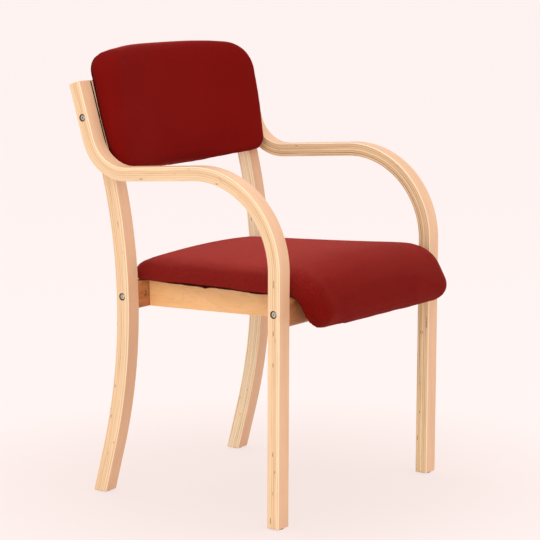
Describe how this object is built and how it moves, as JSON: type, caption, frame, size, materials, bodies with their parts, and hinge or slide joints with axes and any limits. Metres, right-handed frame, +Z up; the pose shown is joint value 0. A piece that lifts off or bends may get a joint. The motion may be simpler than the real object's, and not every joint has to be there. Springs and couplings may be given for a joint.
{
  "type": "waiting room armchair",
  "caption": "Armchair with bent laminated ply arms, legs and back posts, an upholstered seat with a rolled front edge and a dished upholstered back pad, for waiting rooms.",
  "frame": {"origin": "floor level under the centre of the chair's bounding box", "axes": "+Z up, -Y the way the sitter faces, +X to the sitter's left"},
  "size_m": [0.55, 0.5706, 0.8604],
  "materials": {
    "bent_ply": "clear satin lacquer on laminated birch or beech ply",
    "rail_wood": "clear satin lacquer on birch-faced rail",
    "board_ply": "bare moulded ply",
    "dowel_wood": "bare hardwood dowel",
    "red_fabric": "finely grained red upholstery cloth",
    "foam": "cut polyurethane foam",
    "lining": "black non-woven lining",
    "steel": "bright plated socket bolts",
    "zinc": "dull zinc plate",
    "dark_plastic": "moulded dark plastic"
  },
  "bodies": {
    "root": {"arm_leg_left": "bent_ply", "arm_leg_right": "bent_ply", "arm_spacer_left": "dark_plastic", "arm_spacer_right": "dark_plastic", "back_board": "board_ply", "back_bolt_lower_left": "steel", "back_bolt_lower_right": "steel", "back_bolt_upper_left": "steel", "back_bolt_upper_right": "steel", "back_cover": "red_fabric", "back_foam": "foam", "back_rear_cover": "red_fabric", "barrel_nut_front_left": "zinc", "barrel_nut_front_right": "zinc", "barrel_nut_rear_left": "zinc", "barrel_nut_rear_right": "zinc", "dowel_front_lower_left": "dowel_wood", "dowel_front_lower_right": "dowel_wood", "dowel_front_upper_left": "dowel_wood", "dowel_front_upper_right": "dowel_wood", "dowel_rear_lower_left": "dowel_wood", "dowel_rear_lower_right": "dowel_wood", "dowel_rear_upper_left": "dowel_wood", "dowel_rear_upper_right": "dowel_wood", "front_bolt_left": "steel", "front_bolt_right": "steel", "front_rail": "rail_wood", "glide_front_left": "dark_plastic", "glide_front_right": "dark_plastic", "glide_rear_left": "dark_plastic", "glide_rear_right": "dark_plastic", "post_insert_left": "zinc", "post_insert_right": "zinc", "rear_bolt_left": "steel", "rear_bolt_right": "steel", "rear_leg_left": "bent_ply", "rear_leg_right": "bent_ply", "rear_rail": "rail_wood", "seat_board": "board_ply", "seat_cover": "red_fabric", "seat_foam": "foam", "seat_lining": "lining", "seat_screw_1": "zinc", "seat_screw_2": "zinc", "seat_screw_3": "zinc", "seat_screw_4": "zinc", "side_rail_left": "rail_wood", "side_rail_right": "rail_wood", "tee_nut_lower_left": "zinc", "tee_nut_lower_right": "zinc", "tee_nut_upper_left": "zinc", "tee_nut_upper_right": "zinc", "upper_bolt_left": "steel", "upper_bolt_right": "steel"}
  },
  "joints": []
}
